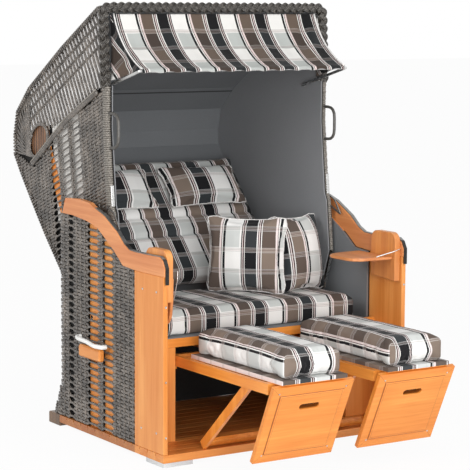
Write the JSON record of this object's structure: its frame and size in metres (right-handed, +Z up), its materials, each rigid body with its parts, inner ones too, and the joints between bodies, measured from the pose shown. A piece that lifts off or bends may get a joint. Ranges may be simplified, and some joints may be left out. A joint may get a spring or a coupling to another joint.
{
  "type": "hooded beach chair",
  "caption": "Wicker beach chair for two with a reclining hood, an awning, fold-out side tables, slide-out footrests, a cushioned bench and a slatted wooden floor.",
  "frame": {"origin": "on the ground, under the middle of the chair's bounding box as pictured, footrests out", "axes": "+X to the sitter's left, which is the right side as seen from in front; +Y to the back; +Z up"},
  "size_m": [1.185, 1.7826, 1.6784],
  "materials": {
    "wood": "oiled, satin",
    "wicker": "woven strand, half gloss",
    "lining": "plain weave, matt",
    "check_cloth": "checked woven cloth in white, taupe and black",
    "dark_steel": "dull grey",
    "bright_steel": "bright",
    "white_plastic": "satin",
    "grey_plastic": "satin"
  },
  "bodies": {
    "base": {"floor_boards": "wood", "bench_frame": "wood", "bench_board": "lining", "rear_wicker": "wicker", "seat_cushion": "check_cloth", "corner_shoe_left": "grey_plastic", "corner_shoe_right": "grey_plastic", "rear_heel_left": "grey_plastic", "rear_heel_right": "grey_plastic", "front_post_left": "wood", "front_post_right": "wood", "front_board_left": "wood", "front_board_right": "wood", "side_wicker_left": "wicker", "side_wicker_right": "wicker", "side_frame_left": "wood", "side_frame_right": "wood", "armrest_left": "wood", "armrest_right": "wood", "ratchet_strip_left": "dark_steel", "ratchet_strip_right": "dark_steel", "cheek_board_left": "wood", "cheek_board_right": "wood", "handle_block_left": "wood", "handle_block_right": "wood", "carry_grip_left": "white_plastic", "carry_grip_right": "white_plastic", "loose_pillow_left": "check_cloth", "loose_pillow_right": "check_cloth"},
    "hood": {"hood_shell": "wicker", "back_lining": "lining", "hood_rim": "wicker", "back_cushion": "check_cloth", "awning_cloth": "check_cloth", "hood_side_left": "wicker", "hood_side_right": "wicker", "side_lining_left": "lining", "side_lining_right": "lining", "hood_handle_left": "wicker", "hood_handle_right": "wicker", "pivot_bolt_left": "dark_steel", "pivot_bolt_right": "dark_steel", "headrest_left": "check_cloth", "headrest_right": "check_cloth"},
    "awning": {"awning_bow": "bright_steel"},
    "latch_left": {"latch_left": "dark_steel"},
    "table_left": {"table_left": "wood"},
    "stay_left": {"table_stay_left": "bright_steel"},
    "footrest_left": {"footrest_frame_left": "wood", "footrest_cushion_left": "check_cloth"},
    "panel_left": {"footrest_panel_left": "wood"},
    "leg_left": {"footrest_leg_left": "wood"},
    "latch_right": {"latch_right": "dark_steel"},
    "table_right": {"table_right": "wood"},
    "stay_right": {"table_stay_right": "bright_steel"},
    "footrest_right": {"footrest_frame_right": "wood", "footrest_cushion_right": "check_cloth"},
    "panel_right": {"footrest_panel_right": "wood"},
    "leg_right": {"footrest_leg_right": "wood"}
  },
  "joints": [
    {"name": "hood_tilt", "type": "hinge", "parent": "base", "child": "hood", "pos_m": [0, 0.16825, 0.4725], "axis": [1, 0, 0], "range_deg": [-22, 17.5]},
    {"name": "awning_swing", "type": "hinge", "parent": "hood", "child": "awning", "pos_m": [0, 0.20625, 1.345], "axis": [1, 0, 0], "range_deg": [-35, 0], "deforming": ["awning_cloth"]},
    {"name": "latch_left_swing", "type": "hinge", "parent": "hood", "child": "latch_left", "pos_m": [-0.513, 0.10125, 0.88], "axis": [1, 0, 0], "range_deg": [-35, 0]},
    {"name": "table_left_fold", "type": "hinge", "parent": "base", "child": "table_left", "pos_m": [-0.5022, -0.26625, 0.688], "axis": [0, -1, 0], "range_deg": [0, 90]},
    {"name": "stay_left_fold", "type": "hinge", "parent": "table_left", "child": "stay_left", "pos_m": [-0.4879, -0.36875, 0.6133], "axis": [0, -1, 0], "range_deg": [-14.6, 0]},
    {"name": "footrest_left_slide", "type": "slide", "parent": "base", "child": "footrest_left", "axis": [0, 1, 0], "range_m": [0, 0.535], "deforming": ["footrest_cushion_left"]},
    {"name": "panel_left_swing", "type": "hinge", "parent": "footrest_left", "child": "panel_left", "pos_m": [-0.229, -0.87325, 0.3694], "axis": [1, 0, 0], "range_deg": [-24.95, 0]},
    {"name": "leg_left_swing", "type": "hinge", "parent": "footrest_left", "child": "leg_left", "pos_m": [-0.229, -0.68225, 0.338], "axis": [1, 0, 0], "range_deg": [0, 42.52]},
    {"name": "latch_right_swing", "type": "hinge", "parent": "hood", "child": "latch_right", "pos_m": [0.513, 0.10125, 0.88], "axis": [1, 0, 0], "range_deg": [-35, 0]},
    {"name": "table_right_fold", "type": "hinge", "parent": "base", "child": "table_right", "pos_m": [0.5022, -0.26625, 0.688], "axis": [0, -1, 0], "range_deg": [0, 90]},
    {"name": "stay_right_fold", "type": "hinge", "parent": "table_right", "child": "stay_right", "pos_m": [0.4275, -0.36875, 0.7023], "axis": [0, -1, 0], "range_deg": [-14.6, 0]},
    {"name": "footrest_right_slide", "type": "slide", "parent": "base", "child": "footrest_right", "axis": [0, 1, 0], "range_m": [0, 0.535], "deforming": ["footrest_cushion_right"]},
    {"name": "panel_right_swing", "type": "hinge", "parent": "footrest_right", "child": "panel_right", "pos_m": [0.229, -0.87325, 0.3694], "axis": [1, 0, 0], "range_deg": [-24.95, 0]},
    {"name": "leg_right_swing", "type": "hinge", "parent": "footrest_right", "child": "leg_right", "pos_m": [0.229, -0.68225, 0.338], "axis": [1, 0, 0], "range_deg": [0, 42.52]}
  ],
  "couplings": [
    {"joint": "stay_left_fold", "follows": "table_left_fold", "ratio": -0.16111},
    {"joint": "panel_left_swing", "follows": "footrest_left_slide", "rad_per_m": -0.81231},
    {"joint": "leg_left_swing", "follows": "footrest_left_slide", "rad_per_m": 1.3853},
    {"joint": "stay_right_fold", "follows": "table_right_fold", "ratio": -0.16111},
    {"joint": "panel_right_swing", "follows": "footrest_right_slide", "rad_per_m": -0.81231},
    {"joint": "leg_right_swing", "follows": "footrest_right_slide", "rad_per_m": 1.3853}
  ]
}
